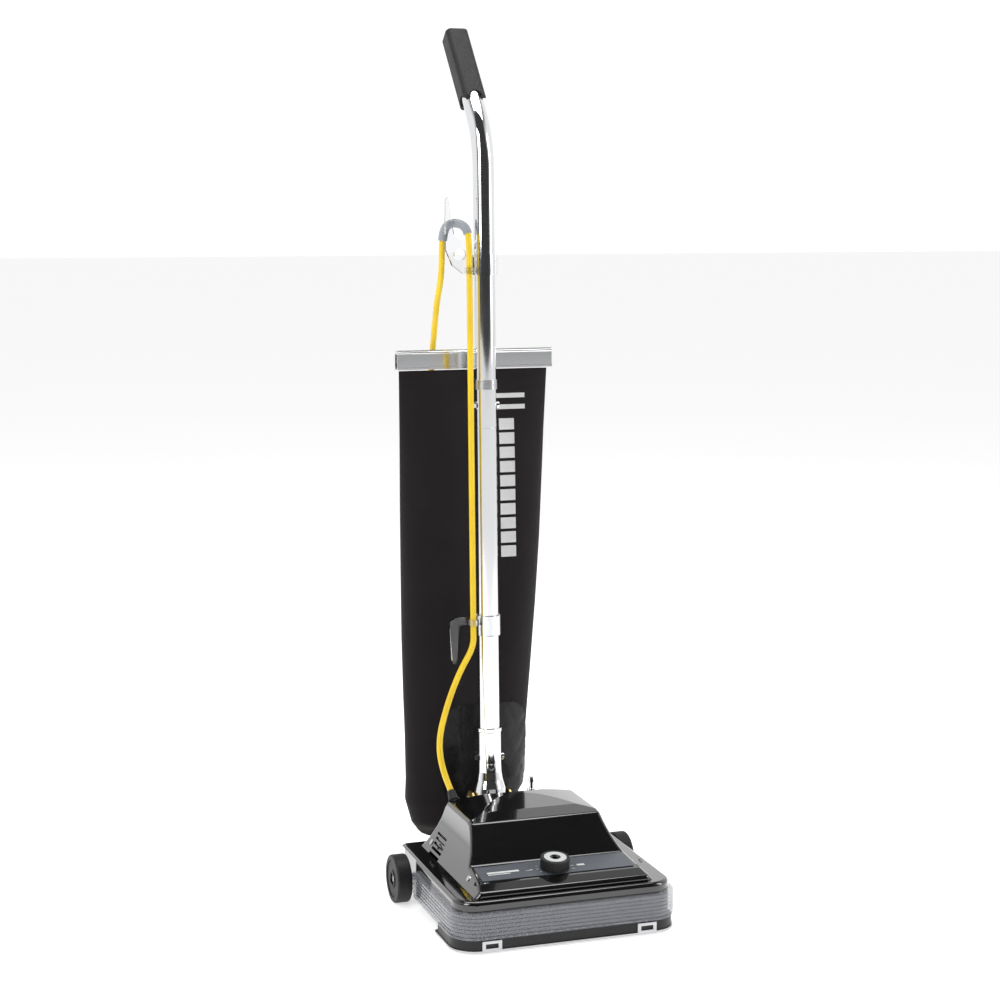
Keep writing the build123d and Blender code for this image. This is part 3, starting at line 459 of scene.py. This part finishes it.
def bag_cloth():
    """Woven black cloth with a plain white graphic and a stitched hem."""
    m = Maker("bag_cloth", (0.01, 0.008, 0.009), 0.85, Sheen_Weight=0.08, Sheen_Roughness=0.45,
              Specular_IOR_Level=0.25)
    uv = m.add("UVMap", uv_map="cloth").outputs["UV"]
    parts = m.add("SeparateXYZ", {"Vector": uv}).outputs
    across, up = parts["X"], parts["Y"]
    threads = [m.wave(620, m.mapped(rotation=(0, 0, math.radians(turn)), source=uv)) for turn in (0, 90)]
    weave = m.maths("ADD", *threads)
    fade = m.noise(9, 5, uv)
    cloth = m.mix(fade, (0.0065, 0.0045, 0.0055), (0.014, 0.0105, 0.0125))
    white = None
    for x0, x1, z0, z1 in bag_graphic():
        block = m.maths("MULTIPLY", m.between(across, x0, x1), m.between(up, z0, z1))
        white = block if white is None else m.maths("MAXIMUM", white, block)
    facing = m.add("SeparateXYZ", {"Vector": m.add("NewGeometry").outputs["Normal"]}).outputs["Y"]
    white = m.maths("MULTIPLY", white, m.maths("LESS_THAN", facing, 0.0))
    m.set("Base Color", m.mix(white, cloth, (0.72, 0.72, 0.72)))
    stitch = m.maths("MULTIPLY", m.between(up, 0.7385, 0.7395),
                     m.maths("GREATER_THAN", m.wave(90, uv), 0.35))
    m.bump(m.maths("SUBTRACT", m.range(weave, 0.0, 0.5), stitch), 0.0005, 0.7)
    return m.material


def bag_graphic():
    """Plain white bars: two short lines over a column of even blocks. x0, x1, z0, z1 in metres."""
    bars = [(0.030, 0.078, 0.7135, 0.7205), (0.030, 0.078, 0.6965, 0.7035)]
    bars += [(0.036, 0.060, 0.6655 - 0.0215 * k, 0.6825 - 0.0215 * k) for k in range(10)]
    return bars


def bag_window():
    m = Maker("patch_vinyl", (0.008, 0.007, 0.008), 0.3, Specular_IOR_Level=0.3)
    m.set("Roughness", m.range(m.noise(30, 4), 0.16, 0.5))
    m.bump(m.noise(34, 3), 0.004, 0.6)
    return m.material


vertices, faces, uv_of = bag_mesh()
bag = new_piece("bag_cloth", vertices, faces, bag_cloth())
uv_layer = bag.data.uv_layers.new(name="cloth")
for loop in bag.data.loops:
    uv_layer.data[loop.index].uv = uv_of[loop.vertex_index]


def bag_front_depth(x, z):
    """Depth of the cloth's front face at a place, in millimetres."""
    near = [v for v in vertices if abs(v.x - x * MM) < 5 * MM and abs(v.z - z * MM) < 5 * MM]
    return min(v.y for v in near) / MM + DEPTH / 2


def bag_patch():
    """Rounded vinyl patch sewn on the lower front of the bag."""
    x0, x1, z0, z1 = (value / MM for value in PATCH)
    columns, rows, radius = 40, 40, 26.0
    points, quads = [], []
    for j in range(rows + 1):
        for i in range(columns + 1):
            u, v = 2 * i / columns - 1, 2 * j / rows - 1
            pull = 1 - radius / (x1 - x0) * abs(u) ** 5 * abs(v) ** 5
            x = (x0 + x1) / 2 + u * (x1 - x0) / 2 * pull
            z = (z0 + z1) / 2 + v * (z1 - z0) / 2 * pull
            edge = 1 - max(abs(u), abs(v)) ** 8
            points.append(at(x, bag_front_depth(x, z) - 0.3 - 0.5 * edge, z))
    for j in range(rows):
        for i in range(columns):
            a = j * (columns + 1) + i
            quads.append((a, a + 1, a + columns + 2, a + columns + 1))
    return new_piece("bag_patch", points, quads, bag_window())


patch = bag_patch()
for piece in (bag, patch):
    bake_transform(piece)
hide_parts("cloth_bag")


# ---- label marks --------------------------------------------------------------------------------
KNOB_DEPTH, KNOB_Z, STRIP_TILT = 65.0, 88.9, 8.2
STRIP_TOP = 1.3


def on_strip(x, back, up=0.0):
    tilt = math.radians(STRIP_TILT)
    height = STRIP_TOP + up
    return at(x, KNOB_DEPTH + back * math.cos(tilt) - height * math.sin(tilt),
              KNOB_Z + back * math.sin(tilt) + height * math.cos(tilt))


def strip_mark(corners):
    """Thin printed shape on the label strip: its vertices and faces, 0.3 mm thick."""
    n = len(corners)
    points = [on_strip(x, back, 0.3) for x, back in corners] + [on_strip(x, back, 0.0) for x, back in corners]
    sides = [(i, i + n, (i + 1) % n + n, (i + 1) % n) for i in range(n)]
    return points, [tuple(range(n)), *sides]


def dial_marks():
    """Ticks round the knob where the strip has room for them, a wedge, a block and two plain bars."""
    shapes = []
    for k in range(8):
        turn = math.radians(200 - 20 * k) if k < 4 else math.radians(40 - 20 * (k - 4))
        c, s = math.cos(turn), math.sin(turn)
        inner, outer, half = 23.5, 26.0 + 0.35 * k, 0.5
        if abs(outer * s) < 17:
            shapes.append([(inner * c - half * s, inner * s + half * c),
                           (outer * c - half * s, outer * s + half * c),
                           (outer * c + half * s, outer * s - half * c),
                           (inner * c + half * s, inner * s - half * c)])
    shapes.append([(-44, -1.2), (-33, -1.2), (-33, 1.2)])
    shapes.append([(33, -2.2), (44, -2.2), (44, 2.6), (33, 2.6)])
    shapes.append([(-98, 0.0), (-52, 0.0), (-52, 4.5), (-98, 4.5)])
    shapes.append([(-98, -4.0), (-66, -4.0), (-66, -2.2), (-98, -2.2)])
    return shapes


def printed_white():
    m = Maker("print_white", (0.7, 0.7, 0.7), 0.5)
    m.set("Base Color", m.mix(m.noise(220), (0.62, 0.62, 0.62), (0.78, 0.78, 0.78)))
    return m.material


mark_points, mark_faces = [], []
for corners in dial_marks():
    points, shape_faces = strip_mark(corners)
    mark_faces += [tuple(i + len(mark_points) for i in face) for face in shape_faces]
    mark_points += points
marks = new_piece("strip_marks", mark_points, mark_faces, printed_white(), smooth=False)
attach(marks, "base")


# ---- floor, light and camera --------------------------------------------------------------------
def stage_plane(name, corners, material):
    plane = new_piece(name, corners, [(0, 1, 2, 3)], material, smooth=False)
    return plane


def floor_material():
    m = Maker("studio_floor", (0.86, 0.86, 0.86), 0.6)
    m.set("Base Color", m.mix(m.noise(3), (0.85, 0.85, 0.85), (0.87, 0.87, 0.87)))
    m.shader.inputs["Emission Color"].default_value = (1, 1, 1, 1)
    m.shader.inputs["Emission Strength"].default_value = FLOOR_GLOW
    m.shader.inputs["Specular IOR Level"].default_value = 0.0
    return m.material


floor_corners = [(x * FLOOR_HALF, y * FLOOR_HALF, 0) for x, y in ((-1, -1), (1, -1), (1, 1), (-1, 1))]
stage_plane("studio_floor", floor_corners, floor_material())


def area_light(name, place, target, width, height, power):
    light = bpy.data.lights.new(name, "AREA")
    light.shape = "RECTANGLE"
    light.size, light.size_y, light.energy = width, height, power
    lamp = bpy.data.objects.new(name, light)
    bpy.context.scene.collection.objects.link(lamp)
    lamp.location = place
    lamp.rotation_euler = (Vector(target) - Vector(place)).to_track_quat("-Z", "Y").to_euler()


area_light("key_left", (-2.6, -1.6, 2.2), (0, 0, 0.5), 1.2, 2.6, 60)
area_light("fill_right", (2.6, -1.4, 1.8), (0, 0, 0.5), 0.7, 2.4, 32)
area_light("top", (0.1, 0.3, 3.2), (0, 0, 0.3), 2.4, 1.6, 55)


def ramp(tree, value, low, high):
    node = tree.nodes.new("ShaderNodeMapRange")
    node.interpolation_type = "SMOOTHSTEP"
    node.inputs["From Min"].default_value, node.inputs["From Max"].default_value = low, high
    tree.links.new(value, node.inputs["Value"])
    return node.outputs["Result"]


def studio_world():
    """White cyclorama; what the object reflects from in front and overhead is a dark room."""
    world = bpy.data.worlds.new("studio")
    world.use_nodes = True
    tree = world.node_tree
    direction = tree.nodes.new("ShaderNodeTexCoord").outputs["Generated"]
    parts = tree.nodes.new("ShaderNodeSeparateXYZ")
    tree.links.new(direction, parts.inputs[0])
    backward = tree.nodes.new("ShaderNodeVectorMath")
    backward.operation = "DOT_PRODUCT"
    tree.links.new(direction, backward.inputs[0])
    yaw = math.radians(CAMERA_YAW)
    backward.inputs[1].default_value = (math.sin(yaw), math.cos(yaw), 0)
    beside = ramp(tree, backward.outputs["Value"], -0.62, -0.22)
    roof = ramp(tree, parts.outputs["Z"], 0.55, 0.92)
    both = tree.nodes.new("ShaderNodeMath")
    both.operation = "SUBTRACT"
    both.use_clamp = True
    tree.links.new(beside, both.inputs[0])
    tree.links.new(roof, both.inputs[1])
    seen = tree.nodes.new("ShaderNodeMath")
    seen.operation = "MAXIMUM"
    tree.links.new(both.outputs[0], seen.inputs[0])
    tree.links.new(tree.nodes.new("ShaderNodeLightPath").outputs["Is Camera Ray"], seen.inputs[1])
    level = tree.nodes.new("ShaderNodeMapRange")
    level.inputs["To Min"].default_value, level.inputs["To Max"].default_value = ROOM_DARK, ROOM_WHITE
    tree.links.new(seen.outputs[0], level.inputs["Value"])
    background = tree.nodes["Background"]
    background.inputs["Color"].default_value = (1, 1, 1, 1)
    tree.links.new(level.outputs["Result"], background.inputs["Strength"])
    bpy.context.scene.world = world


studio_world()
bpy.context.scene.view_settings.view_transform = "Standard"

camera_data = bpy.data.cameras.new("camera")
camera_data.lens, camera_data.sensor_width = CAMERA_LENS, 36
camera = bpy.data.objects.new("camera", camera_data)
bpy.context.scene.collection.objects.link(camera)
camera.location = at(*CAMERA_PLACE)
camera.rotation_euler = (math.radians(90 - CAMERA_PITCH), 0, -math.radians(CAMERA_YAW))
bpy.context.scene.camera = camera
